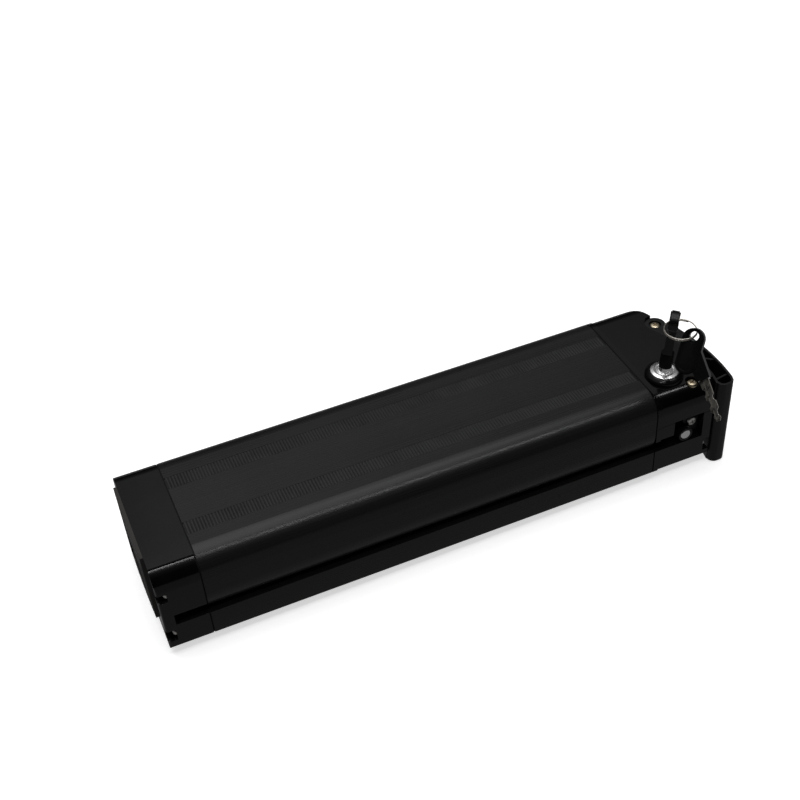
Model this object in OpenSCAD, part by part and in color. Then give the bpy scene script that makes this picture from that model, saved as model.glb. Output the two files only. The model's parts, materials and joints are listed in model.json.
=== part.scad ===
// Slide-in e-bike battery pack with key lock, sliding lock bolt and fold-out carrying handle.
// +X runs from the connector end to the lock end, +Z is up, the pack rests on Z = 0.

/* [Shell] */
// Overall width of the shell and both end caps
width = 112; // [100:1:124]
// Height of the shell above its resting face
height = 71.5; // [68:0.5:76]
// Where the shell starts, measured from the connector face
shell_x0 = 34.5; // [30:0.5:40]
// Where the shell ends and the lock cap starts
shell_x1 = 374.5; // [300:0.5:420]
// Radius of the two long top edges
edge_r = 17; // [12:0.5:20]
// Wall of the extruded shell
wall = 2; // [1.6:0.1:3]
// Pitch of the cross ribs pressed into the two grip strips
rib_pitch = 2.2; // [1.6:0.1:4]

/* [Rail] */
// Top of the lower flange, where the rail slot begins
slot_z0 = 22.2; // [18:0.1:24]
// Top of the rail slot in the shell
slot_z1 = 27.5; // [26:0.1:30]
// Top of the taller rail slot in the end caps
cap_slot_z1 = 31.4; // [29:0.1:34]
// Depth of the rail slot from the side face
slot_depth = 8; // [5:0.5:10]

/* [End caps] */
// Front plane of the connector cap behind the raised socket plate
conn_x0 = 2.9; // [2:0.1:5]
// End plane of the lock cap
lock_x1 = 423.3; // [410:0.1:435]
// Wall of the moulded caps
cap_wall = 2.6; // [2:0.1:4]
// Height where the lock cap splits into two halves
split_z = 44; // [40:0.5:50]
// Near edge of the raised flat panel on top of the caps, from the middle
panel_half = 47; // [40:0.5:50]

/* [Lock] */
// Lock position along the pack
lock_x = 394; // [388:0.5:400]
// Lock position across the pack
lock_y = -31.5; // [-36:0.5:-24]
// Rest angle of the key blade, from the long axis
key_yaw = 51; // [40:0.5:80]
// Lean of the inserted key out of the upright
key_lean = 5.5; // [0:0.5:6]
// Lock bolt centre line along the pack
bolt_x = 401.7; // [398:0.1:405]
// Lock bolt centre line above the resting face
bolt_z = 28.2; // [26:0.1:30]
// Radius of the lock bolt
bolt_r = 4.2; // [3:0.1:5]
// Travel of the lock bolt
bolt_travel = 8; // [5:0.5:9]

/* [Handle] */
// Handle hinge position along the pack
hinge_x = 421.5; // [418:0.1:424]
// Handle hinge position across the pack
hinge_y = 24.5; // [20:0.1:30]
// Lowest and highest level of the handle
handle_z0 = -7; // [-8:0.5:0]
// Top of the handle
handle_z1 = 69; // [64:0.5:71]
// Wall of the hollow handle
handle_wall = 1.8; // [1.4:0.1:3]

/* [Cells] */
// Rows of cells across the pack
cell_rows = 5; // [3:1:5]
// Cells in each row
cell_cols = 13; // [8:1:13]
// Radius of a cell
cell_r = 9.15; // [9:0.05:9.3]
// Length of a cell
cell_len = 65; // [64:0.5:66]
// Distance between neighbouring cell centres
cell_pitch = 19.4; // [18.8:0.1:20]

/* [Charging] */
// Charge socket position along the pack
charge_x = 390; // [386:0.5:394]
// Charge socket level above the resting face
charge_z = 42.5; // [40:0.5:46]

/* [Hidden] */
$fn = 64;
gasket_t = 1;
half = width / 2;
neck = half - slot_depth;
key_off = 4.01;
ring_r = 11.3;
spare_at = -65.31;
ring_z = 122.34;
ring_x = 393.92;
ring_y = -45.74;
pin_r = 5.66;
pin_at = 45;
status_y = -14;
status_z = 47;
button_y = -22;
button_z = 49.5;
key_rise = 46.31;
cap_in = 0.6;
end_r = 30;
cell_x0 = 48;
cell_z0 = 3.2;
row_step = cell_pitch * 0.866;

// ---- colours ----
c_alu = [0.07, 0.07, 0.075];
c_plastic = [0.06, 0.06, 0.062];
c_steel = [0.75, 0.75, 0.76];
c_brass = [0.8, 0.65, 0.3];
c_rubber = [0.1, 0.1, 0.1];

// ---- helpers ----
// a flat outline (across, up) pushed along the pack from x0 to x1
module along_x(x0, x1) {
  translate([x0, 0, 0])
    rotate([90, 0, 90])
      linear_extrude(x1 - x0)
        children();
}

// both sides of the pack
module both_sides() {
  children();
  mirror([0, 1, 0])
    children();
}

// cylinder along +X from a point
module x_rod(x, y, z, r, l) {
  translate([x, y, z])
    rotate([0, 90, 0])
      cylinder(r = r, h = l);
}

// cylinder along +Y from a point
module y_rod(x, y, z, r, l) {
  translate([x, y, z])
    rotate([-90, 0, 0])
      cylinder(r = r, h = l);
}

// ring shaped rod piece around Z
module tube(r_out, r_in, h) {
  difference() {
    cylinder(r = r_out, h = h);
    translate([0, 0, -1])
      cylinder(r = r_in, h = h + 2);
  }
}

// top block with two rounded long edges
module top_block(i, z_from) {
  translate([-(half - edge_r), z_from])
    square([2 * (half - edge_r), height - i - z_from]);
  translate([-(half - i), z_from])
    square([2 * (half - i), height - edge_r - z_from]);
  for (s = [-1, 1])
    translate([s * (half - edge_r), height - edge_r])
      circle(r = edge_r - i);
}

// lower flange with two small rounded edges
module flange(i) {
  rb = max(3 - i, 0.5);
  translate([-(half - i), i + rb])
    square([2 * (half - i), slot_z0 - 2 * i - rb]);
  translate([-(half - i - rb), i])
    square([2 * (half - i - rb), slot_z0 - 2 * i]);
  for (s = [-1, 1])
    translate([s * (half - i - rb), i + rb])
      circle(r = rb);
}

// cross section of the shell, drawn in by i
module shell_outline(i) {
  top_block(i, 40);
  intersection() {
    union() {
      for (s = [-1, 1])
        translate([s * (half - 30), 40])
          circle(r = 30 - i);
      translate([-(half - 30), 10])
        square([2 * (half - 30), 31]);
    }
    translate([-half, slot_z1 + i])
      square([width, 41 - slot_z1 - i]);
  }
  translate([-(neck - i), slot_z0 - i - 1])
    square([2 * (neck - i), slot_z1 - slot_z0 + 2 * i + 2]);
  flange(i);
}

// cross section of the caps, drawn in by i
module cap_outline(i) {
  top_block(i, cap_slot_z1 + i);
  translate([-(panel_half - i), 60])
    square([panel_half - i, height - i - 60]);
  translate([-(neck - i), slot_z0 - i - 1])
    square([2 * (neck - i), cap_slot_z1 - slot_z0 + 2 * i + 2]);
  flange(i);
}

// the same outline with the rail slot filled in
module cap_outline_full(i) {
  cap_outline(i);
  translate([-(half - i), 15])
    square([2 * (half - i), 25]);
}

// ---- shell ----
module screw_channels(r) {
  for (s = [-1, 1])
    for (z = [49.5, 12.5])
      translate([s * 51.5, z])
        circle(r = r);
}

module shell() {
  color(c_alu)
    difference() {
      along_x(shell_x0, shell_x1)
        difference() {
          shell_outline(0);
          difference() {
            shell_outline(wall);
            screw_channels(3.4);
          }
          screw_channels(1.55);
        }
      for (s = [-1, 1])
        translate([shell_x0 - 1, s * 23.15 - 5.9, height - 0.5])
          cube([shell_x1 - shell_x0 + 2, 11.8, 1]);
    }
}

// saw profile of one grip strip, seen from the side
function rib_points(n) = [
  for (k = [0 : n - 1])
    each [
      [k * rib_pitch, 0.26],
      [k * rib_pitch + rib_pitch * 0.28, 0.5],
      [k * rib_pitch + rib_pitch * 0.72, 0.5]
    ]
];

module grip_strips() {
  n = floor((shell_x1 - shell_x0) / rib_pitch);
  len = n * rib_pitch;
  color(c_alu)
    for (s = [-1, 1])
      translate([shell_x0 + (shell_x1 - shell_x0 - len) / 2, s * 23.15 + 5.8, height - 0.5])
        rotate([90, 0, 0])
          linear_extrude(11.6)
            polygon(concat([[0, 0]], rib_points(n), [[len, 0.26], [len, 0]]));
}

// ---- connector cap ----
module connector_cap() {
  color(c_plastic)
    difference() {
      union() {
        difference() {
          intersection() {
            along_x(conn_x0, shell_x0 - gasket_t)
              cap_outline_full(0);
            translate([0, 0, -1])
              linear_extrude(height + 2)
                union() {
                  translate([conn_x0 + 2, -half])
                    square([40, width]);
                  translate([conn_x0, -half + 2])
                    square([40, width - 4]);
                  for (s = [-1, 1])
                    translate([conn_x0 + 2, s * (half - 2)])
                      circle(r = 2);
                }
          }
          along_x(conn_x0 + 3, shell_x0 + 1)
            cap_outline(cap_wall);
          both_sides()
            translate([10.9, neck, slot_z0])
              cube([40, 20, cap_slot_z1 - slot_z0]);
        }
        along_x(shell_x0 - 1.5, 45)
          difference() {
            shell_outline(wall + 0.2);
            shell_outline(wall + 2);
            screw_channels(3.8);
          }
        both_sides() {
          x_rod(9.3, 51.5, 49.5, 4.2, shell_x0 - gasket_t - 9.3);
          x_rod(9.3, 51.5, 12.5, 4.2, shell_x0 - gasket_t - 9.3);
        }
      }
      both_sides() {
        translate([0, 48, 45.8])
          cube([9.6, 10, 7.4]);
        translate([0, 48, 7.5])
          cube([9.6, 10, 10]);
        x_rod(5, 51.5, 49.5, 1.9, 45);
        x_rod(5, 51.5, 12.5, 1.9, 45);
        translate([0, half, 0])
          cube([60, 5, 80]);
      }
      translate([0, -34.2, 14.5])
        cube([9, 68.4, 50]);
    }
}

// raised plate round the discharge socket, with ribs either side of the well
module socket_plate() {
  color([0.3, 0.27, 0.25])
    difference() {
      union() {
        intersection() {
          translate([0, -36, 12.7])
            cube([conn_x0, 72, height - 12.7]);
          translate([1080, 0, 0])
            cylinder(r = 1080, h = 80, $fn = 720);
        }
        translate([1, -34, 14.7])
          cube([5.2, 68, 49.6]);
      }
      translate([-1, -22, 22])
        cube([9, 44, 30]);
      for (s = [-1, 1])
        for (k = [0 : 3])
          translate([-1, s * (25.5 + k * 2.6) - 0.6, 17])
            cube([2.4, 1.2, 45]);
      for (k = [0 : 2])
        translate([-1, -20, 55 + k * 3.6])
          cube([2.2, 40, 1.4]);
      for (s = [-1, 1])
        x_rod(-1, s * 29, 67.6, 1.7, 3);
    }
}

// moulded block that holds the blades
module discharge_socket() {
  color([0.12, 0.12, 0.12])
    difference() {
      union() {
        translate([2.5, -21.8, 22.2])
          cube([19.5, 43.6, 29.6]);
        translate([6.3, -25, 19])
          cube([3, 50, 36]);
      }
      for (k = [-2 : 2])
        translate([1, k * 7.6 - 2.6, 27])
          cube([14, 5.2, 20]);
      for (k = [-2 : 2])
        translate([10, k * 7.6 - 0.45, 30])
          cube([20, 0.9, 14]);
    }
}

// five flat contact blades
module contact_blades() {
  color(c_brass)
    for (k = [-2 : 2])
      translate([4.5, k * 7.6 - 0.4, 30.1])
        cube([23, 0.8, 13.8]);
}

// pan head cross recess screw along Z, head up, origin at the seat
module pan_screw(head_r, head_h, shank_r, shank_l) {
  difference() {
    union() {
      rotate_extrude()
        polygon([
          [0, 0],
          [head_r, 0],
          [head_r, head_h * 0.45],
          [head_r * 0.8, head_h * 0.85],
          [head_r * 0.5, head_h],
          [0, head_h]
        ]);
      translate([0, 0, -shank_l])
        cylinder(r = shank_r, h = shank_l + 0.1);
    }
    for (a = [0, 90])
      rotate([0, 0, a + 20])
        translate([-head_r * 0.55, -head_r * 0.11, head_h * 0.35])
          cube([head_r * 1.1, head_r * 0.22, head_h]);
  }
}

module connector_screws() {
  color(c_steel)
    both_sides()
      for (z = [49.5, 12.5])
        translate([9.6, 51.5, z])
          rotate([0, -90, 0])
            pan_screw(3.4, 2.2, 1.5, 36);
}

// thin rubber gaskets pressed between the shell ends and the two caps
module gaskets() {
  color(c_rubber)
    for (x = [shell_x0 - gasket_t, shell_x1])
      along_x(x, x + gasket_t)
        difference() {
          shell_outline(0.5);
          shell_outline(wall + 0.1);
        }
}

// ---- lock cap ----
// plan of the lock cap drawn in by i, with one wide and one tight end corner
module lock_plan(i) {
  xe = lock_x1 - i;
  xc = lock_x1 - end_r;
  yc = half - end_r;
  translate([shell_x1 - 1, -half + i])
    square([xc - shell_x1 + 1, width - 2 * i]);
  translate([shell_x1 + 10, -half + i + 2])
    square([xe - shell_x1 - 10, half + yc - i - 2]);
  translate([shell_x1 + 10, -half + i])
    square([xe - shell_x1 - 12, 40]);
  translate([xc, yc])
    circle(r = end_r - i, $fn = 96);
  translate([xe - 2, -half + i + 2])
    circle(r = 2);
}

// plan of the room cut in the cap top for the upper handle arm, widened by e
module arm_room(e) {
  translate([hinge_x, hinge_y])
    circle(r = 8.6 + e);
  difference() {
    polygon([
      [405 - e, -16 - e],
      [445, -16 - e],
      [445, hinge_y],
      [412.9 - e, hinge_y],
      [414 - e, 18]
    ]);
    translate([321.7, -30])
      circle(r = 104.3 - e, $fn = 128);
  }
}

module lock_block() {
  along_x(shell_x1 + gasket_t, 379.5)
    cap_outline(0);
  intersection() {
    along_x(379, lock_x1)
      cap_outline(0.6);
    translate([0, 0, -1])
      linear_extrude(height + 2)
        lock_plan(0.0);
  }
  intersection() {
    along_x(415.7, lock_x1)
      cap_outline_full(0.6);
    translate([0, 0, -1])
      linear_extrude(height + 2)
        lock_plan(0.0);
  }
}

module lock_hollow() {
  intersection() {
    along_x(shell_x1 - 1, lock_x1)
      cap_outline(0.6 + cap_wall);
    translate([0, 0, -1])
      linear_extrude(height + 2)
        lock_plan(cap_wall + 0.4);
  }
}

// everything both halves of the lock cap have in common
module lock_shell() {
  difference() {
    union() {
      difference() {
        lock_block();
        lock_hollow();
      }
      // spigot inside the shell
      along_x(363.8, shell_x1 + 1.5)
        difference() {
          shell_outline(wall + 0.2);
          shell_outline(wall + 2);
          screw_channels(3.8);
        }
      // hinge lug at the end
      translate([hinge_x, hinge_y, 0.6])
        cylinder(r = 7.5, h = 61.4);
      // post under the near top screw
      intersection() {
        translate([408.5, -46, 37.5])
          cylinder(r = 4.6, h = 30);
        lock_block();
      }
      // wall behind the side window
      translate([388.4, -neck, slot_z0])
        cube([28, 2.2, 25]);
      translate([388.4, -neck, 44.7])
        cube([28, 2.2, 2.4]);
      translate([388.4, -half + 1.6, 44.7])
        cube([28, 8, 2.2]);
      translate([388.4, -half + 1.6, slot_z0 - 2])
        cube([28, 8, 2]);
      // long screw sleeves
      for (s = [-1, 1])
        x_rod(shell_x1 + gasket_t, s * 51.5, 12.5, 3.8, 40 - gasket_t);
      // floor and wall of the room cut for the upper arm
      intersection() {
        translate([0, 0, 59.6])
          linear_extrude(20)
            arm_room(2);
        lock_block();
      }
    }
    // side window
    translate([391, -half - 1, slot_z0])
      cube([24.7, slot_depth + 1, 44.7 - slot_z0]);
    // room for the upper handle arm
    translate([0, 0, 62])
      linear_extrude(20)
        arm_room(0);
    // recess and hole of the near top screw
    translate([408.5, -46, 67.3])
      cylinder(r = 5, h = 10);
    translate([408.5, -46, 36])
      cylinder(r = 1.75, h = 40);
    // key lock hole
    translate([lock_x, lock_y, 60])
      cylinder(r = 9.7, h = 20);
    // hinge screw holes
    translate([hinge_x, hinge_y, 46])
      cylinder(r = 1.6, h = 30);
    translate([hinge_x, hinge_y, -1])
      cylinder(r = 1.6, h = 20);
    // notches and holes of the long screws
    translate([418, -half - 1, 6])
      cube([10, 9.5, 11]);
    translate([396, half - 9.5, 6])
      cube([30, 12, 11]);
    for (s = [-1, 1])
      x_rod(shell_x1 - 1, s * 51.5, 12.5, 1.9, 50);
    // bolt hole through the window wall
    y_rod(bolt_x, -neck - 1, bolt_z, 5.9, 5);
    // bracket screw hole
    y_rod(409, -neck - 1, 35, 1.4, 7);
    // charge socket hole on the far side
    y_rod(charge_x, 40, charge_z, 7.1, 20);
    // status window and button in the end wall, behind the handle
    translate([418, status_y, status_z])
      cube([10, 12, 5]);
    x_rod(418, button_y, button_z, 3.3, 10);
  }
}

module lock_cap_upper() {
  color(c_plastic)
    intersection() {
      lock_shell();
      translate([350, -70, split_z + 0.15])
        cube([100, 140, 40]);
    }
}

module lock_cap_lower() {
  color(c_plastic)
    intersection() {
      lock_shell();
      translate([350, -70, -10])
        cube([100, 140, split_z + 9.85]);
    }
}

module lock_cap_screws() {
  color(c_steel) {
    translate([418, -51.5, 12.5])
      rotate([0, 90, 0])
        pan_screw(3.4, 2.2, 1.5, 60);
    translate([396, 51.5, 12.5])
      rotate([0, 90, 0])
        pan_screw(3.4, 2.2, 1.5, 38);
  }
}

module top_screw() {
  color(c_brass)
    translate([408.5, -46, 67.3])
      pan_screw(4, 2.3, 1.5, 28);
}

// ---- lock ----
module lock_bezel() {
  color([0.05, 0.05, 0.05])
    translate([lock_x, lock_y, height])
      rotate_extrude()
        polygon([
          [9.6, -cap_in],
          [14, -cap_in],
          [14, 1],
          [13.6, 1.8],
          [12.4, 2.8],
          [11.1, 3.7],
          [10.8, 3.7],
          [10.7, 3.4],
          [10.7, 1.6],
          [9.6, 1.6]
        ]);
}

module lock_housing() {
  color(c_steel)
    translate([lock_x, lock_y, 0])
      rotate_extrude()
        polygon([
          [6.05, 48],
          [9.4, 48],
          [9.4, 73.1],
          [10.6, 73.1],
          [10.6, 75],
          [10.1, 75.6],
          [7.6, 76.2],
          [7.4, 75.8],
          [6.05, 75.8]
        ]);
}

module lock_nut() {
  color(c_brass)
    translate([lock_x, lock_y, 64.2])
      difference() {
        cylinder(r = 13.4, h = 4, $fn = 6);
        translate([0, 0, -1])
          cylinder(r = 9.5, h = 6);
      }
}

module lock_plug() {
  color(c_steel)
    difference() {
      union() {
        translate([lock_x, lock_y, 44])
          cylinder(r = 6, h = 31.6);
        translate([lock_x - 3, lock_y - 3, 36])
          cube([6, 6, 9]);
        place_key()
          translate([key_off, 0, -key_rise - 1.5])
            cylinder(r1 = 5.2, r2 = 4.3, h = 5);
      }
      place_key()
        key_slot();
    }
}

// dust sleeve round the key, standing on the plug
module lock_sleeve() {
  color(c_rubber)
    place_key()
      difference() {
        translate([key_off, 0, -key_rise + 3.5])
          cylinder(r = 4.7, h = 12.3);
        key_slot();
      }
}

// cam under the plug, with the pin that pushes the bolt
module lock_cam() {
  color(c_steel)
    translate([lock_x, lock_y, 0])
      difference() {
        union() {
          translate([0, 0, 38])
            cylinder(r = 7.9, h = 3);
          rotate([0, 0, pin_at])
            translate([pin_r, 0, 25])
              cylinder(r = 1.6, h = 13.5);
        }
        translate([-3.05, -3.05, 30])
          cube([6.1, 6.1, 20]);
      }
}

// ---- lock bolt ----
module bolt_carriage() {
  color([0.15, 0.15, 0.15])
    difference() {
      union() {
        y_rod(bolt_x, -53.6, bolt_z, bolt_r, 20.8);
        translate([393.6, -33.2, 23.4])
          cube([13.2, 11.4, 9.6]);
      }
      translate([395.4, lock_y + 4 - 2.1, 20])
        cube([7, 4.2, 20]);
      y_rod(bolt_x, -54, bolt_z, 1.6, 6);
    }
}

module bolt_tip() {
  color(c_steel)
    translate([bolt_x, -53.6, bolt_z])
      rotate([90, 0, 0]) {
        rotate_extrude()
          polygon([[0, 0], [4.2, 0], [4.2, 1], [3.6, 1.6], [0, 1.6]]);
        translate([0, 0, -5])
          cylinder(r = 1.5, h = 5.2);
      }
}

module bolt_guide() {
  color([0.05, 0.05, 0.05])
    difference() {
      union() {
        y_rod(bolt_x, -55.2, bolt_z, 5.75, 13);
        y_rod(bolt_x, -44.7, bolt_z, 7.2, 1.6);
      }
      y_rod(bolt_x, -56, bolt_z, bolt_r + 0.05, 16);
    }
}

// block that backs the spring
module spring_seat() {
  color(c_plastic)
    difference() {
      union() {
        translate([396, -12, 3.4])
          cube([12, 3, 31]);
        translate([394, -14, 3.4])
          cube([16, 7, 3]);
      }
      y_rod(bolt_x, -14, bolt_z, 1.4, 7);
    }
}

// push spring behind the bolt: a round wire swept along a helix
function coil_point(t, v, n, turns, len) =
  let (a = 360 * turns * t / n, w = 360 * v / 8)
  [(2.8 + 0.45 * cos(w)) * cos(a), (2.8 + 0.45 * cos(w)) * sin(a), 0.5 + len * t / n + 0.45 * sin(w)];

module bolt_spring() {
  turns = 5;
  n = 18 * turns;
  ring_points = [for (t = [0 : n], v = [0 : 7]) coil_point(t, v, n, turns, 8.6)];
  sides = [for (t = [0 : n - 1], v = [0 : 7])
    [t * 8 + v, t * 8 + (v + 1) % 8, (t + 1) * 8 + (v + 1) % 8, (t + 1) * 8 + v]];
  ends = [[for (v = [7 : -1 : 0]) v], [for (v = [0 : 7]) n * 8 + v]];
  color(c_steel)
    translate([bolt_x, -12.05, bolt_z])
      rotate([90, 0, 0])
        polyhedron(points = ring_points, faces = concat(sides, ends));
}

module bolt_bracket() {
  color([0.4, 0.4, 0.42])
    difference() {
      union() {
        translate([402, -49.6, 24.4])
          cube([13, 1.55, 14.2]);
        translate([402, -49.6, 37])
          cube([13, 1.55, 5]);
      }
      y_rod(bolt_x, -50, bolt_z, 5.9, 3);
      y_rod(409, -50, 35, 1.7, 3);
    }
}

module bracket_screw() {
  color(c_steel)
    translate([409, -49.6, 35])
      rotate([90, 0, 0])
        pan_screw(4.1, 2, 1.3, 6);
}

// ---- keys ----
// a key with its hole centre at the origin, hanging down: round grip, short neck, notched blade
// oval key head drawn in by i, t thick, its long axis leaning off the blade
module key_oval(i, t) {
  translate([key_off + 2.56, 0, -9.16])
    rotate([0, -35.7, 0])
      rotate([90, 0, 0])
        union() {
          translate([0, -8.4, -t / 2])
            cylinder(r = 7.6 - i, h = t);
          translate([0, 9.2, -t / 2])
            cylinder(r = 7.6 - i, h = t);
          translate([i - 7.6, -8.4, -t / 2])
            cube([15.2 - 2 * i, 17.6, t]);
        }
}

// moulded head with a sunk panel each side and a thinned lug round the ring hole
module key_head_shape() {
  difference() {
    union() {
      key_oval(0, 5.4);
      key_oval(0.8, 7);
      translate([key_off - 5, -3.1, -30])
        cube([10, 6.2, 19]);
    }
    for (s = [-1, 1]) {
      translate([0, s * 4.95, 0])
        key_oval(2.4, 3.5);
      translate([0, s * 4.9, 0])
        rotate([90, 0, 0])
          cylinder(r = 5, h = 6, center = true);
    }
    rotate([90, 0, 0])
      cylinder(r = 3.3, h = 20, center = true);
    translate([key_off - 3.23, -1.03, -66])
      cube([6.46, 2.06, 39]);
  }
}

module key_blade_shape() {
  translate([key_off, 0, 0])
    difference() {
      translate([0, 1, 0])
        rotate([90, 0, 0])
          linear_extrude(2)
            polygon([
              [-3.2, -27], [3.2, -27], [3.2, -36.5], [1.7, -38], [1.7, -40], [3, -41.6],
              [3, -44.4], [1.1, -46.2], [1.1, -48.6], [2.5, -50.2], [2.5, -53], [0.9, -54.8],
              [1.7, -56.6], [1.7, -57.8], [0.7, -60.3], [-1.4, -60.3], [-2.5, -58.6], [-2.5, -57.2],
              [-1.5, -55.8], [-1.5, -53.2], [-3.2, -51.2], [-3.2, -46.2], [-1.9, -44.8],
              [-1.9, -42.6], [-3.2, -41]
            ]);
      for (q = [-1, 1])
        translate([0.3 * q - 0.3, q * 1.1 - 0.4, -65])
          cube([0.6, 0.8, 34]);
    }
}

// slot for the blade through plug and sleeve, in the key's own frame
module key_slot() {
  translate([key_off - 3.3, -1.1, -65.2])
    cube([6.6, 2.2, 40]);
}

module place_key() {
  translate([lock_x, lock_y, 76])
    rotate([0, key_lean, 0])
      rotate([0, 0, key_yaw])
        translate([-key_off, 0, key_rise])
          children();
}

module key_head() {
  color([0.05, 0.05, 0.05])
    place_key()
      key_head_shape();
}

module key_blade() {
  color(c_steel)
    place_key()
      key_blade_shape();
}

module key_ring() {
  color(c_steel)
    translate([ring_x, ring_y, ring_z])
      rotate_extrude()
        for (s = [-1, 1])
          translate([ring_r, s * 0.45])
            circle(r = 0.55, $fn = 24);
}

module place_spare() {
  translate([ring_x + ring_r * cos(spare_at), ring_y + ring_r * sin(spare_at), ring_z])
    rotate([-140.24, 151.8, -31.19])
      children();
}

module spare_key_head() {
  color([0.05, 0.05, 0.05])
    place_spare()
      key_head_shape();
}

module spare_key_blade() {
  color(c_steel)
    place_spare()
      key_blade_shape();
}

// ---- handle ----
// plan of the grip drawn in by i
module grip_plan(i) {
  intersection() {
    difference() {
      translate([272.7, -30])
        circle(r = 167 - i, $fn = 128);
      translate([321.7, -30])
        circle(r = 105 + i, $fn = 128);
    }
    translate([425.3 + i, -53.8])
      square([30, 67.8 - i]);
  }
  intersection() {
    difference() {
      translate([272.7, -30])
        circle(r = 167 - i, $fn = 128);
      translate([321.7, -30])
        circle(r = 105 + i, $fn = 128);
    }
    translate([410, -53.8])
      square([30, 40]);
  }
  for (x = [429.9, 432.1])
    translate([x, -53.8])
      circle(r = 5.5 - i);
  translate([429.9, -59.3 + i])
    square([2.2, 8]);
}

// plan of the two arms that reach the hinge
module arm_plan() {
  translate([hinge_x, hinge_y])
    circle(r = 8);
  intersection() {
    difference() {
      polygon([
        [410, -13],
        [445, -13],
        [445, 22.2],
        [hinge_x + 2, 22.2],
        [hinge_x, hinge_y],
        [415.2, 20.2],
        [415.9, 18]
      ]);
      translate([321.7, -30])
        circle(r = 105, $fn = 128);
    }
    translate([272.7, -30])
      circle(r = 167, $fn = 128);
  }
}

module handle() {
  color(c_plastic)
    difference() {
      union() {
        // walls and floor
        translate([0, 0, handle_z0])
          linear_extrude(handle_z1 - handle_z0)
            difference() {
              grip_plan(0);
              grip_plan(handle_wall);
            }
        translate([0, 0, handle_z0])
          linear_extrude(2)
            grip_plan(0.5);
        // cross ribs
        intersection() {
          translate([0, 0, handle_z0])
            linear_extrude(handle_z1 - handle_z0 - 1.5)
              grip_plan(0.5);
          union() {
            for (p = [[432, -48.6, 8], [435, -27, -38], [432, -10, 20], [431, 1, 12]])
              translate([p[0], p[1], 30])
                rotate([0, 0, p[2]])
                  cube([30, 1.6, 80], center = true);
          }
        }
        // arms
        translate([0, 0, 62.4])
          linear_extrude(handle_z1 - 62.4)
            arm_plan();
        translate([0, 0, handle_z0])
          linear_extrude(6.5)
            arm_plan();
      }
      translate([hinge_x, hinge_y, 60])
        cylinder(r = 3.05, h = 20);
      translate([hinge_x, hinge_y, 66.6])
        cylinder(r = 4.6, h = 10);
      translate([hinge_x, hinge_y, -10])
        cylinder(r = 3.05, h = 12);
      translate([hinge_x, hinge_y, -10])
        cylinder(r = 4.6, h = 5.4);
    }
}

// shoulder screws of the handle hinge, one above and one below
module hinge_screws() {
  color(c_brass) {
    translate([hinge_x, hinge_y, 66.7]) {
      pan_screw(4, 2, 1.5, 18);
      translate([0, 0, -4.7])
        cylinder(r = 3, h = 4.8);
    }
    mirror([0, 0, 1])
      translate([hinge_x, hinge_y, 4.7]) {
        pan_screw(4, 2, 1.5, 18);
        translate([0, 0, -5.3])
          cylinder(r = 3, h = 5.4);
      }
  }
}

// ---- far side fittings ----
module charge_socket() {
  color([0.1, 0.1, 0.1])
    difference() {
      union() {
        y_rod(charge_x, 38, charge_z, 7, 17);
        y_rod(charge_x, 50.6, charge_z, 7.7, 1.5);
      }
      y_rod(charge_x, 44, charge_z, 5, 20);
      for (k = [0 : 2])
        translate([charge_pin_x(k), 0, charge_pin_z(k)])
          y_rod(0, 37, 0, 0.85, 8);
    }
}

function charge_pin_x(k) = charge_x + 2.5 * cos(k * 120 + 90);
function charge_pin_z(k) = charge_z + 2.5 * sin(k * 120 + 90);

module charge_pins() {
  color(c_brass)
    for (k = [0 : 2])
      y_rod(charge_pin_x(k), 39, charge_pin_z(k), 0.8, 11.5);
}

// rubber flap over the charge socket, hinged on its upper edge
module charge_cover() {
  hz = charge_z + 12.4;
  color(c_rubber)
    difference() {
      union() {
        y_rod(charge_x, 55.7, charge_z, 9.6, 1.9);
        y_rod(charge_x, 52.4, charge_z, 4.4, 3.5);
        translate([charge_x - 5, 55.7, charge_z])
          cube([10, 1.9, 12.4]);
        x_rod(charge_x - 5, 57, hz, 1.35, 10);
      }
      y_rod(charge_x, 52, charge_z, 3.4, 2.8);
      x_rod(charge_x - 12, 57, hz, 0.85, 24);
    }
}

module cover_pin() {
  color(c_steel)
    x_rod(charge_x - 6.8, 57, charge_z + 12.4, 0.8, 13.6);
}

module cover_ears() {
  color(c_plastic)
    difference() {
      for (x = [charge_x - 6.9, charge_x + 5.2])
        translate([x, 55.4, charge_z + 10.6])
          cube([1.7, 3, 3.6]);
      x_rod(charge_x - 12, 57, charge_z + 12.4, 0.8, 24);
    }
}

// clear window of the charge lights, with a flange behind the wall
module status_window() {
  color([0.8, 0.8, 0.8])
    union() {
      translate([419.6, status_y + 0.1, status_z + 0.1])
        cube([3.9, 11.8, 4.8]);
      translate([418.9, status_y - 1, status_z - 1])
        cube([1.2, 14, 7]);
    }
}

module status_button() {
  color([0.6, 0.1, 0.1])
    union() {
      x_rod(418, button_y, button_z, 3.2, 6.2);
      x_rod(418.7, button_y, button_z, 4.2, 1.3);
    }
}

// ---- inside ----
function cell_y(r) = (r - (cell_rows - 1) / 2) * row_step;
function cell_x(c, r) = cell_x0 + cell_r + 1 + c * cell_pitch + (r % 2) * cell_pitch / 2;

module each_cell() {
  for (r = [0 : cell_rows - 1])
    for (c = [0 : cell_cols - 1])
      translate([cell_x(c, r), cell_y(r), 0])
        children();
}

module cells() {
  color([0.1, 0.45, 0.35])
    each_cell()
      translate([0, 0, cell_z0])
        cylinder(r = cell_r, h = cell_len);
}

module holder_plate() {
  lx = cell_cols * cell_pitch + 12;
  difference() {
    translate([cell_x0, -44, 0])
      cube([lx, 88, 7]);
    each_cell()
      translate([0, 0, -1])
        cylinder(r = cell_r + 0.05, h = 9);
  }
}

module cell_holder_lower() {
  color([0.15, 0.15, 0.16])
    translate([0, 0, cell_z0 + 2])
      holder_plate();
}

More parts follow.
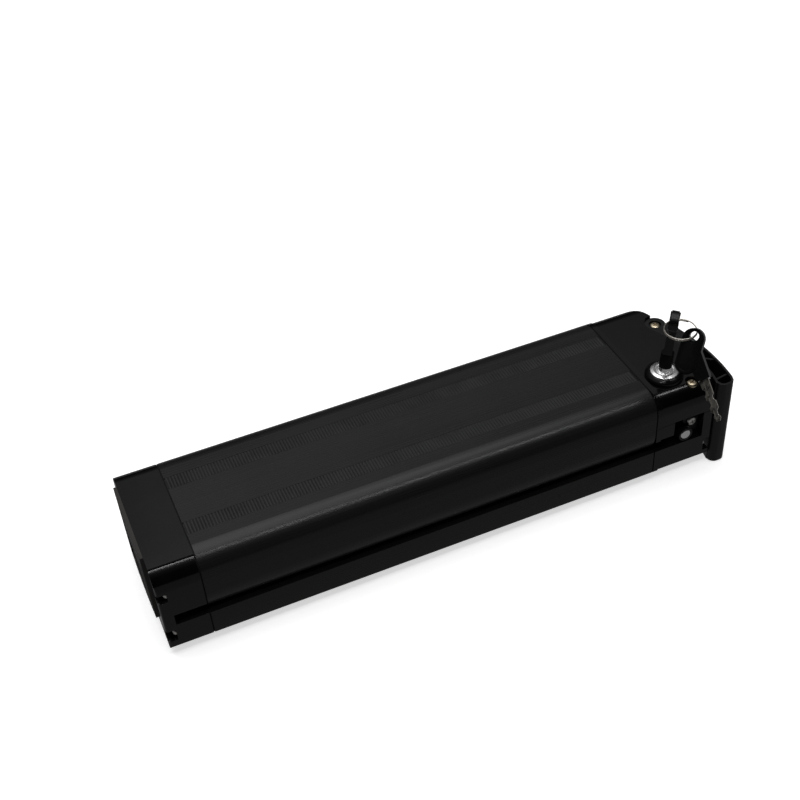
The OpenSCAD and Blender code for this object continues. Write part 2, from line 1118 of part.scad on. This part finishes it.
module cell_holder_upper() {
  color([0.15, 0.15, 0.16])
    translate([0, 0, cell_z0 + cell_len - 9])
      holder_plate();
}

// nickel strips over the cell tops, one per pair of columns
module nickel_strips() {
  color(c_steel)
    for (c = [0 : cell_cols - 1]) {
      x = cell_x(c, 0.5);
      translate([x - 1, -41, cell_z0 + cell_len])
        cube([7, 82, 0.3]);
      translate([x - 1, -41, cell_z0 - 0.3])
        cube([7, 82, 0.3]);
    }
}

module protection_board() {
  color([0.1, 0.35, 0.2])
    translate([322, -40, 8])
      cube([36, 80, 1.6]);
}

module board_parts() {
  color([0.2, 0.2, 0.2]) {
    for (k = [0 : 5])
      translate([326, -35 + k * 12, 9.6])
        cube([9, 7, 4.4]);
    translate([340, -34, 9.6])
      cube([12, 24, 6]);
    translate([341, 6, 9.6])
      cube([8, 26, 7]);
    for (k = [0 : 2])
      translate([344, -4 + k * 3, 9.6])
        cylinder(r = 1.2, h = 5);
  }
}

// main leads between board and socket, along the bottom corner
module power_cables() {
  for (k = [0, 1])
    color(k == 0 ? [0.7, 0.1, 0.1] : [0.08, 0.08, 0.08]) {
      x_rod(46, 46.05, 6.4 + 5 * k, 2, 281.9);
      translate([46, 36.05, 6.4 + 5 * k])
        rotate([0, 0, 90])
          rotate_extrude(angle = 90)
            translate([10, 0])
              circle(r = 2);
      y_rod(36, 12 - 8 * k, 6.4 + 5 * k, 2, 24.05 + 8 * k);
    }
}

module foam_pads() {
  color([0.3, 0.3, 0.32])
    for (x = [60, 150, 240])
      translate([x, -36, 69.0])
        cube([50, 72, 0.4]);
}

shell();
grip_strips();
connector_cap();
socket_plate();
discharge_socket();
contact_blades();
connector_screws();
gaskets();
lock_cap_upper();
lock_cap_lower();
lock_cap_screws();
top_screw();
lock_bezel();
lock_housing();
lock_nut();
lock_plug();
lock_sleeve();
lock_cam();
bolt_carriage();
bolt_tip();
bolt_guide();
spring_seat();
bolt_spring();
bolt_bracket();
bracket_screw();
key_head();
key_blade();
key_ring();
spare_key_head();
spare_key_blade();
handle();
hinge_screws();
charge_socket();
charge_pins();
charge_cover();
cover_pin();
cover_ears();
status_window();
status_button();
cells();
cell_holder_lower();
cell_holder_upper();
nickel_strips();
protection_board();
board_parts();
power_cables();
foam_pads();
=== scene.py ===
"""Looks for the slide-in battery pack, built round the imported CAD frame."""

import json
import math

import bmesh
import bpy
from mathutils import Matrix, Vector


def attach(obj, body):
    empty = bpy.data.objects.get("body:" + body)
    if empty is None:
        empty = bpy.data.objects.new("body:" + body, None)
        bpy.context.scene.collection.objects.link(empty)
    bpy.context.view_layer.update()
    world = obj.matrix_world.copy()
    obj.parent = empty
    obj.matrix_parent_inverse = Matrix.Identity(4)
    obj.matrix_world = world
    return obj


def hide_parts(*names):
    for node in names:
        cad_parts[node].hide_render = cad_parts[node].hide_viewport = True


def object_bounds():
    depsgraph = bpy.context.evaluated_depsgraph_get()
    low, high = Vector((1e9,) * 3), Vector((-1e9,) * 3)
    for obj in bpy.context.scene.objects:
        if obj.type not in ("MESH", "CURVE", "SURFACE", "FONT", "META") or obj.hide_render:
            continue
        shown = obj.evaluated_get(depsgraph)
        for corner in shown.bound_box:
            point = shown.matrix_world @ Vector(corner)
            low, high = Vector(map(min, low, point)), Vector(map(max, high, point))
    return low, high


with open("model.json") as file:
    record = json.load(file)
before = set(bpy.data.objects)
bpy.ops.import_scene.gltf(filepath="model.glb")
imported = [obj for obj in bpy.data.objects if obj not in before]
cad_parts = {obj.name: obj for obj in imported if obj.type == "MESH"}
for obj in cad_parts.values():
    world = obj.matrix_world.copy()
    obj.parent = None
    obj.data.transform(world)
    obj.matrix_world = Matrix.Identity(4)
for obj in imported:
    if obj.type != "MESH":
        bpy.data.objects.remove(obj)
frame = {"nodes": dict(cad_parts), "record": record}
cad_lo, cad_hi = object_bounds()
nodes = frame["nodes"]
record = frame["record"]
body_of_node = {n: b for b, ns in record["behaviour"]["bodies"].items() for n in ns}
slot_of_node = {s["node"]: s["material_slot"] for s in record["subparts"]}
MM = 0.001

# ---------------------------------------------------------------- materials
METAL_GRAIN = 500         # grain of metal with no brushing, per metre
MID = (0.3, 0.7)          # the band of a noise that is spread over a full range
LEADS_APART = 0.0085      # height between the red lead and the black one above it


class Shader:
    """Small helper that adds nodes to one material."""

    def __init__(self, name):
        self.mat = bpy.data.materials.new(name)
        self.mat.use_nodes = True
        self.tree = self.mat.node_tree
        self.bsdf = self.tree.nodes["Principled BSDF"]
        self.coord = self.tree.nodes.new("ShaderNodeTexCoord").outputs["Object"]

    def link(self, a, b):
        self.tree.links.new(a, b)

    def scaled(self, scale):
        m = self.tree.nodes.new("ShaderNodeMapping")
        m.inputs["Scale"].default_value = scale
        self.link(self.coord, m.inputs["Vector"])
        return m.outputs["Vector"]

    def noise(self, scale, detail=3.0, rough=0.5, vector=None):
        n = self.tree.nodes.new("ShaderNodeTexNoise")
        n.inputs["Scale"].default_value = scale
        n.inputs["Detail"].default_value = detail
        n.inputs["Roughness"].default_value = rough
        self.link(vector or self.coord, n.inputs["Vector"])
        return n.outputs["Fac"]

    def voronoi(self, scale, vector=None, feature="F1"):
        n = self.tree.nodes.new("ShaderNodeTexVoronoi")
        n.feature = feature
        n.inputs["Scale"].default_value = scale
        self.link(vector or self.coord, n.inputs["Vector"])
        return n.outputs["Distance"]

    def span(self, fac, lo, hi, from_lo=0.0, from_hi=1.0):
        m = self.tree.nodes.new("ShaderNodeMapRange")
        m.inputs["From Min"].default_value = from_lo
        m.inputs["From Max"].default_value = from_hi
        m.inputs["To Min"].default_value = lo
        m.inputs["To Max"].default_value = hi
        self.link(fac, m.inputs["Value"])
        return m.outputs["Result"]

    def math(self, op, a, b):
        m = self.tree.nodes.new("ShaderNodeMath")
        m.operation = op
        for i, v in enumerate((a, b)):
            if isinstance(v, (int, float)):
                m.inputs[i].default_value = v
            else:
                self.link(v, m.inputs[i])
        return m.outputs["Value"]

    def mix(self, fac, a, b):
        m = self.tree.nodes.new("ShaderNodeMix")
        m.data_type = "RGBA"
        for key, v in (("Factor", fac), ("A", a), ("B", b)):
            sock = [s for s in m.inputs if s.name == key and s.enabled][0]
            if isinstance(v, (tuple, list)):
                sock.default_value = (*v, 1)
            else:
                self.link(v, sock)
        return [s for s in m.outputs if s.enabled][0]

    def bump(self, height, distance, strength=1.0, normal=None):
        b = self.tree.nodes.new("ShaderNodeBump")
        b.inputs["Strength"].default_value = strength
        b.inputs["Distance"].default_value = distance
        self.link(height, b.inputs["Height"])
        if normal is not None:
            self.link(normal, b.inputs["Normal"])
        return b.outputs["Normal"]

    def edge(self, lo=0.52, hi=0.6):
        """1 on outer edges, 0 elsewhere."""
        g = self.tree.nodes.new("ShaderNodeNewGeometry")
        return self.span(g.outputs["Pointiness"], 0, 1, lo, hi)

    def set(self, key, value):
        sock = self.bsdf.inputs[key]
        if isinstance(value, (tuple, list)):
            sock.default_value = (*value, 1)
        elif isinstance(value, (int, float)):
            sock.default_value = value
        else:
            self.link(value, sock)


def grey(value, blue=0.0):
    """A near-neutral colour with a trace of extra blue."""
    return (value, value, value + blue)


def shell_metal():
    """Black anodised extrusion: long drawn grain, faint handling marks, paler rubbed edges."""
    s = Shader("shell_metal")
    streak = s.noise(1.0, 4, 0.6, s.scaled((6, 900, 900)))
    cloud = s.noise(14, 4, 0.6)
    speck = s.noise(2600, 2, 0.5)
    base = s.mix(s.span(cloud, 0, 1, 0.35, 0.7), grey(0.0010, 0.0001), grey(0.0018, 0.0001))
    base = s.mix(s.math("MULTIPLY", s.edge(0.56, 0.66), 0.2), base, grey(0.05))
    s.set("Base Color", base)
    s.set("Roughness", s.math("ADD", s.span(streak, 0.22, 0.33, *MID), s.span(cloud, -0.03, 0.04, *MID)))
    s.set("Specular IOR Level", 0.3)
    drawn = s.bump(streak, 0.00003, 0.3)
    s.set("Normal", s.bump(speck, 0.00001, 0.4, drawn))
    return s.mat


def strip_metal():
    """The ribbed strips: paler and rougher than the shell."""
    s = Shader("strip_metal")
    cloud = s.noise(60, 3, 0.6)
    s.set("Base Color", s.mix(s.span(cloud, 0, 1, *MID), grey(0.0085, 0.0002), grey(0.0155, 0.0002)))
    s.set("Specular IOR Level", 0.34)
    s.set("Roughness", s.span(cloud, 0.34, 0.5, *MID))
    s.set("Normal", s.bump(s.noise(3000, 2), 0.00001, 0.5))
    return s.mat


def moulded(name, base, rough, grain, depth, smudge=0.05, coat=0.0, spec=0.5):
    """Moulded plastic: spark-eroded grain, faint flow marks and smudges, paler rubbed edges."""
    vary, wear = 0.35, 0.12
    s = Shader(name)
    flow = s.noise(9, 5, 0.65)
    fine = s.noise(grain, 3, 0.6)
    lo = tuple(c * (1 - vary) for c in base)
    hi = tuple(c * (1 + vary) for c in base)
    worn = tuple(min(1.0, c * 2.2 + 0.015) for c in base)
    col = s.mix(s.span(flow, 0, 1, 0.32, 0.68), lo, hi)
    s.set("Base Color", s.mix(s.math("MULTIPLY", s.edge(), wear), col, worn))
    grained = s.span(fine, rough - 0.02, rough + 0.03, *MID)
    s.set("Roughness", s.math("ADD", grained, s.span(flow, -smudge, smudge, *MID)))
    s.set("Specular IOR Level", spec)
    s.set("Coat Weight", coat)
    s.set("Coat Roughness", 0.08)
    pits = s.math("MULTIPLY", s.voronoi(grain * 0.7), 0.6)
    s.set("Normal", s.bump(s.math("ADD", fine, pits), depth, 0.6))
    return s.mat


def metal(name, base, rough, brushed=(METAL_GRAIN,) * 3, dirt=0.25):
    """Bare or plated metal with brushing or polish marks, scratches and random blotches of dirt."""
    scratches = 0.3
    s = Shader(name)
    grain = s.noise(1.0, 4, 0.6, s.scaled(brushed))
    cloud = s.noise(120, 4, 0.6)
    scratch = s.span(s.voronoi(260, s.scaled((1, 6, 2)), "DISTANCE_TO_EDGE"), 1, 0, 0.0, 0.03)
    dark = tuple(c * 0.55 for c in base)
    s.set("Base Color", s.mix(s.span(cloud, 0, dirt, 0.45, 0.75), base, dark))
    s.set("Metallic", 1.0)
    brush = s.span(grain, rough * 0.7, rough * 1.4, *MID)
    s.set("Roughness", s.math("ADD", brush, s.math("MULTIPLY", scratch, scratches * 0.3)))
    grooves = s.math("MULTIPLY", scratch, -0.4 * scratches)
    s.set("Normal", s.bump(s.math("ADD", grain, grooves), 0.00002, 0.5))
    return s.mat


def clear_window():
    """Frosted clear plastic over the charge lights."""
    s = Shader("window_plastic")
    s.set("Base Color", s.mix(s.noise(80, 3), (0.62, 0.64, 0.64), (0.75, 0.77, 0.77)))
    s.set("Transmission Weight", 0.8)
    s.set("Roughness", s.span(s.noise(700, 2), 0.06, 0.16))
    s.set("Normal", s.bump(s.noise(900, 2), 0.00001, 0.4))
    return s.mat


def circuit():
    """Green solder mask with raised tracks."""
    s = Shader("board")
    track = s.span(s.voronoi(420, s.scaled((1, 2.4, 1)), "DISTANCE_TO_EDGE"), 1, 0, 0.02, 0.05)
    s.set("Base Color", s.mix(track, (0.015, 0.11, 0.05), (0.05, 0.24, 0.11)))
    s.set("Roughness", 0.35)
    s.set("Normal", s.bump(track, 0.00003, 0.6))
    return s.mat


def lead_pair():
    """Two silicone leads, black above and red below."""
    s = Shader("cable")
    sep = s.tree.nodes.new("ShaderNodeSeparateXYZ")
    s.link(s.coord, sep.inputs["Vector"])
    upper = s.math("GREATER_THAN", sep.outputs["Z"], LEADS_APART)
    grain = s.noise(900, 3)
    col = s.mix(upper, (0.45, 0.02, 0.015), grey(0.015))
    s.set("Base Color", s.mix(s.span(grain, 0, 0.3, *MID), col, (0.1, 0.03, 0.03)))
    s.set("Roughness", s.span(grain, 0.45, 0.65))
    s.set("Normal", s.bump(grain, 0.00003, 0.5))
    return s.mat


def foam():
    """Open-cell packing foam."""
    s = Shader("foam")
    cells = s.voronoi(1400)
    s.set("Base Color", s.mix(cells, (0.05, 0.05, 0.055), (0.13, 0.13, 0.14)))
    s.set("Roughness", 0.95)
    s.set("Normal", s.bump(cells, 0.0002, 0.8))
    return s.mat


# name: colour, roughness, grain per metre, grain depth, and what differs from plain
MOULDED = {
    "cap_plastic": (grey(0.0022, 0.0002), 0.14, 1400, 0.000004, dict(spec=0.32)),
    "socket_plastic": ((0.024, 0.021, 0.019), 0.5, 1600, 0.00003, dict(smudge=0.06, spec=0.35)),
    "seal_rubber": (grey(0.0035), 0.62, 1800, 0.00003, dict(spec=0.12)),
    "bezel_plastic": (grey(0.0035, 0.0001), 0.2, 2600, 0.000006, dict(smudge=0.03, spec=0.26)),
    "key_plastic": (grey(0.0042, 0.0002), 0.3, 2400, 0.00001, dict(smudge=0.04, spec=0.3)),
    "handle_plastic": (grey(0.0052, 0.0002), 0.36, 1900, 0.00002, dict(spec=0.34)),
    "button_plastic": ((0.35, 0.02, 0.015), 0.5, 1500, 0.00002, dict(smudge=0.04)),
    "cell_wrap": ((0.03, 0.2, 0.17), 0.28, 900, 0.00001, dict(smudge=0.06, coat=0.4)),
    "holder_plastic": (grey(0.02, 0.002), 0.5, 1500, 0.00002, {}),
    "board_parts": (grey(0.015), 0.45, 1500, 0.00002, {}),
}
# name: colour, roughness, and what differs from plain
METALS = {
    "contact_metal": ((0.78, 0.6, 0.3), 0.25, {}),
    "screw_steel": ((0.66, 0.65, 0.62), 0.28, {}),
    "screw_brass": ((0.6, 0.52, 0.38), 0.3, {}),
    "lock_metal": (grey(0.9), 0.22, dict(dirt=0.12)),
    # bracket_metal: colour darkened far below bare metal to paint the shade that falls on the bracket
    # inside the charging window
    "bracket_metal": (grey(0.045, 0.002), 0.42, dict(brushed=(40, 900, 900))),
    "key_metal": ((0.72, 0.68, 0.62), 0.3, dict(brushed=(500, 500, 60))),
    "strip_nickel": ((0.68, 0.66, 0.62), 0.3, dict(brushed=(600, 30, 600))),
}
MATS = {
    "shell_metal": shell_metal(),
    "strip_metal": strip_metal(),
    "window_plastic": clear_window(),
    "board": circuit(),
    "cable": lead_pair(),
    "foam": foam(),
}
for mat_name, (tone, roughness, grain, depth, extra) in MOULDED.items():
    MATS[mat_name] = moulded(mat_name, tone, roughness, grain, depth, **extra)
for mat_name, (tone, roughness, extra) in METALS.items():
    MATS[mat_name] = metal(mat_name, tone, roughness, **extra)


def paint(obj, material):
    obj.data.materials.clear()
    obj.data.materials.append(material)


# ---------------------------------------------------------------- mesh tools
FLAT_ANGLE = math.radians(0.6)    # faces this close to one plane become one face
HARD_ANGLE = math.radians(32)     # edges sharper than this are rounded
BEVEL_STEPS = 3
WELD_CAD, WELD_BEVEL = 1e-6, 2e-7


def smooth_by_angle(mesh, degrees):
    """Smooth shading with sharp edges above an angle."""
    limit = math.radians(degrees)
    bm = bmesh.new()
    bm.from_mesh(mesh)
    for f in bm.faces:
        f.smooth = True
    for e in bm.edges:
        e.smooth = len(e.link_faces) == 2 and e.calc_face_angle(0) < limit
    bm.to_mesh(mesh)
    bm.free()


def piece(name, mesh, node):
    """A new object that stands for a CAD node and rides on its body."""
    obj = bpy.data.objects.new(name, mesh)
    bpy.context.scene.collection.objects.link(obj)
    paint(obj, MATS[slot_of_node[node]])
    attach(obj, body_of_node[node])
    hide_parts(node)
    return obj


def refine(node, width):
    """The CAD node again with its flat faces whole and its hard edges rounded, width in mm."""
    bm = bmesh.new()
    bm.from_mesh(nodes[node].data)
    bmesh.ops.remove_doubles(bm, verts=bm.verts, dist=WELD_CAD)
    bmesh.ops.dissolve_limit(bm, angle_limit=FLAT_ANGLE, verts=bm.verts, edges=bm.edges)
    hard = [e for e in bm.edges if len(e.link_faces) == 2 and e.calc_face_angle(0) > HARD_ANGLE]
    bmesh.ops.bevel(bm, geom=hard, offset=width * MM, offset_type="OFFSET", segments=BEVEL_STEPS,
                    profile=0.5, affect="EDGES", clamp_overlap=True, harden_normals=False)
    bmesh.ops.remove_doubles(bm, verts=bm.verts, dist=WELD_BEVEL)
    bmesh.ops.triangulate(bm, faces=[f for f in bm.faces if len(f.verts) > 4])
    mesh = bpy.data.meshes.new(node)
    bm.to_mesh(mesh)
    bm.free()
    smooth_by_angle(mesh, 35)
    obj = piece(node + "_v", mesh, node)
    even = obj.modifiers.new("even_normals", "WEIGHTED_NORMAL")
    even.keep_sharp = True
    return obj


# ---------------------------------------------------------------- finish on CAD nodes
for n, obj in nodes.items():
    paint(obj, MATS[slot_of_node[n]])
    smooth_by_angle(obj.data, 30)
paint(nodes["grip_strips"], MATS["strip_metal"])

# ---------------------------------------------------------------- rounded edges, mm
ROUNDED = {
    "connector_cap": 0.8,
    "socket_plate": 0.35,
    "discharge_socket": 0.3,
    "lock_cap_upper": 0.8,
    "lock_cap_lower": 0.5,
    "lock_bezel": 0.3,
    "lock_housing": 0.25,
    "lock_plug": 0.2,
    "lock_sleeve": 0.4,
    "handle": 0.5,
    "key_head": 0.4,
    "spare_key_head": 0.4,
    "key_blade": 0.15,
    "spare_key_blade": 0.15,
    "bolt_guide": 0.3,
    "bolt_bracket": 0.2,
    "top_screw": 0.2,
    "bracket_screw": 0.2,
    "hinge_screws": 0.2,
    "lock_cap_screws": 0.2,
    "connector_screws": 0.2,
    "charge_cover": 0.4,
    "status_window": 0.2,
    "status_button": 0.3,
    "bolt_tip": 0.15,
}
for node_name, width in ROUNDED.items():
    refine(node_name, width)

# ---------------------------------------------------------------- split ring
WIRE_R = 0.47 * MM
WIRE_INSET = 0.55 * MM            # wire centre inside the CAD ring's outer edge
TURN_LEVEL = 0.5 * MM             # each turn's centre above or below the middle
RING_START, RING_END = 30.0, 690.0
STEP_START, STEP_END = 330.0, 390.0
RING_STEPS, RING_SIDES = 220, 14
TIP_SIZES = {0: 0.72, 1: 0.93}    # the wire's ends are rounded off over two sections


def split_ring():
    """Two turns of wire lying flat on each other, joined by one slanting step."""
    cad = nodes["key_ring"]
    pts = [cad.matrix_world @ v.co for v in cad.data.vertices]
    lo = Vector([min(p[i] for p in pts) for i in range(3)])
    hi = Vector([max(p[i] for p in pts) for i in range(3)])
    mid = (lo + hi) / 2
    turn_r = (hi.x - lo.x) / 2 - WIRE_INSET
    around = [2 * math.pi * j / RING_SIDES for j in range(RING_SIDES)]
    rings = []
    bm = bmesh.new()
    for k in range(RING_STEPS + 1):
        deg = RING_START + (RING_END - RING_START) * k / RING_STEPS
        t = min(1.0, max(0.0, (deg - STEP_START) / (STEP_END - STEP_START)))
        t = t * t * (3 - 2 * t)
        a = math.radians(deg)
        out = Vector((math.cos(a), math.sin(a), 0))
        c = mid + out * turn_r + Vector((0, 0, TURN_LEVEL * (2 * t - 1)))
        w = WIRE_R * TIP_SIZES.get(min(k, RING_STEPS - k), 1.0)
        rings.append([bm.verts.new(c + out * (w * math.cos(q)) + Vector((0, 0, w * math.sin(q))))
                      for q in around])
    for r0, r1 in zip(rings, rings[1:]):
        for j in range(RING_SIDES):
            i = (j + 1) % RING_SIDES
            bm.faces.new((r0[j], r1[j], r1[i], r0[i]))
    bm.faces.new(rings[0])
    bm.faces.new(list(reversed(rings[-1])))
    bmesh.ops.recalc_face_normals(bm, faces=bm.faces)
    mesh = bpy.data.meshes.new("split_ring")
    bm.to_mesh(mesh)
    bm.free()
    smooth_by_angle(mesh, 40)
    return piece("split_ring", mesh, "key_ring")


split_ring()

# ---------------------------------------------------------------- stage
FLOOR_HALF = 6.0
FLOOR_GAP = 0.5 * MM              # below the object's lowest point
FLOOR_GLOW = 0.6                  # added to the floor as the camera sees it
FLOOR_MIRRORED = 0.19             # the floor as reflections see it


def make_floor():
    """White to the camera, dim in reflections so the black sides stay dark."""
    mesh = bpy.data.meshes.new("floor")
    z = cad_lo.z - FLOOR_GAP
    corners = [(sx * FLOOR_HALF, sy * FLOOR_HALF, z) for sx, sy in ((-1, -1), (1, -1), (1, 1), (-1, 1))]
    mesh.from_pydata(corners, [], [(0, 1, 2, 3)])
    floor = bpy.data.objects.new("floor", mesh)
    bpy.context.scene.collection.objects.link(floor)
    mat = bpy.data.materials.new("floor")
    mat.use_nodes = True
    tree = mat.node_tree
    tree.nodes.clear()
    path = tree.nodes.new("ShaderNodeLightPath")
    matt = tree.nodes.new("ShaderNodeBsdfDiffuse")
    matt.inputs["Color"].default_value = (0.9, 0.9, 0.9, 1)
    glow = tree.nodes.new("ShaderNodeEmission")
    glow.inputs["Strength"].default_value = FLOOR_GLOW
    seen = tree.nodes.new("ShaderNodeAddShader")
    tree.links.new(matt.outputs[0], seen.inputs[0])
    tree.links.new(glow.outputs[0], seen.inputs[1])
    dim = tree.nodes.new("ShaderNodeEmission")
    dim.inputs["Strength"].default_value = FLOOR_MIRRORED
    pick = tree.nodes.new("ShaderNodeMixShader")
    tree.links.new(path.outputs["Is Camera Ray"], pick.inputs["Fac"])
    tree.links.new(dim.outputs[0], pick.inputs[1])
    tree.links.new(seen.outputs[0], pick.inputs[2])
    out = tree.nodes.new("ShaderNodeOutputMaterial")
    tree.links.new(pick.outputs[0], out.inputs["Surface"])
    mesh.materials.append(mat)


make_floor()

# ---------------------------------------------------------------- light
SOFT_AIM = (0.21, 0.0, 0.03)      # middle of the pack
STRIP_PLACE = (0.55, -0.5, 1.5)   # draws the bright line along the near shoulder
STRIP_AIM = (0.55, -0.5, 0.0)
SKY_TILT = 15.0                   # degrees the bright zenith leans away from the camera
SKY_GAIN = 2.2
# place in the ramp (1 at the zenith, 0 at and below the horizon), brightness
SKY = ((0.45, 0.0), (0.70, 0.04), (0.77, 0.12), (0.87, 0.16), (0.92, 0.55), (0.97, 1.0))


def area(name, place, aim, size, power, size_y):
    """A rectangular light; one aimed straight down keeps its sides along X and Y."""
    data = bpy.data.lights.new(name, "AREA")
    data.energy = power
    data.size = size
    data.shape = "RECTANGLE"
    data.size_y = size_y
    obj = bpy.data.objects.new(name, data)
    obj.location = place
    away = Vector(aim) - Vector(place)
    if away.xy.length > 1e-6:
        obj.rotation_euler = away.to_track_quat("-Z", "Y").to_euler()
    bpy.context.scene.collection.objects.link(obj)
    return obj


for lamp in (
    area("top_soft", (0.1, 0.1, 1.6), SOFT_AIM, 1.2, 5, 1.0),
    area("left_fill", (-1.5, -0.9, 1.0), SOFT_AIM, 1.0, 3, 0.8),
):
    lamp.visible_glossy = False
area("edge_strip", STRIP_PLACE, STRIP_AIM, 1.8, 5.0, 0.05)


def make_sky():
    """Bright overhead dome that falls off to darkness near the horizon; plain white to the camera."""
    world = bpy.data.worlds.new("studio")
    bpy.context.scene.world = world
    world.use_nodes = True
    tree = world.node_tree
    tree.nodes.clear()
    coord = tree.nodes.new("ShaderNodeTexCoord")
    tilt = math.radians(SKY_TILT)
    dot = tree.nodes.new("ShaderNodeVectorMath")
    dot.operation = "DOT_PRODUCT"
    dot.inputs[1].default_value = (0.0, math.sin(tilt), math.cos(tilt))
    tree.links.new(coord.outputs["Generated"], dot.inputs[0])
    ramp = tree.nodes.new("ShaderNodeValToRGB")
    e = ramp.color_ramp.elements
    while len(e) < len(SKY):
        e.new(0.5)
    for el, (pos, v) in zip(e, SKY):
        el.position = pos
        el.color = (v, v, v, 1)
    tree.links.new(dot.outputs["Value"], ramp.inputs["Fac"])
    dome = tree.nodes.new("ShaderNodeBackground")
    dome.inputs["Strength"].default_value = SKY_GAIN
    tree.links.new(ramp.outputs["Color"], dome.inputs["Color"])
    plain = tree.nodes.new("ShaderNodeBackground")
    plain.inputs["Color"].default_value = (1, 1, 1, 1)
    path = tree.nodes.new("ShaderNodeLightPath")
    pick = tree.nodes.new("ShaderNodeMixShader")
    tree.links.new(path.outputs["Is Camera Ray"], pick.inputs["Fac"])
    tree.links.new(dome.outputs[0], pick.inputs[1])
    tree.links.new(plain.outputs[0], pick.inputs[2])
    out = tree.nodes.new("ShaderNodeOutputWorld")
    tree.links.new(pick.outputs[0], out.inputs["Surface"])


make_sky()

# ---------------------------------------------------------------- camera
AZIMUTH, ELEVATION, ROLL = math.radians(-20.307), math.radians(41.074), math.radians(-4.498)
TARGET = Vector((0.22496, 0.0662, 0.038))
DISTANCE = 0.96855
LENS, SENSOR = 57.15, 36.0


def make_camera():
    """Looks at TARGET from DISTANCE away, tipped a little to the right."""
    back = Vector((math.sin(AZIMUTH) * math.cos(ELEVATION),
                   -math.cos(AZIMUTH) * math.cos(ELEVATION), math.sin(ELEVATION)))
    level_x = Vector((0, 0, 1)).cross(back).normalized()
    level_y = back.cross(level_x)
    right = level_x * math.cos(ROLL) + level_y * math.sin(ROLL)
    up = level_y * math.cos(ROLL) - level_x * math.sin(ROLL)
    place = TARGET + back * DISTANCE
    data = bpy.data.cameras.new("camera")
    data.lens, data.sensor_width = LENS, SENSOR
    data.clip_start, data.clip_end = 0.01, 50
    cam = bpy.data.objects.new("camera", data)
    bpy.context.scene.collection.objects.link(cam)
    cam.matrix_world = Matrix((
        (right.x, up.x, back.x, place.x),
        (right.y, up.y, back.y, place.y),
        (right.z, up.z, back.z, place.z),
        (0, 0, 0, 1),
    ))
    bpy.context.scene.camera = cam


make_camera()
bpy.context.scene.view_settings.view_transform = "Standard"
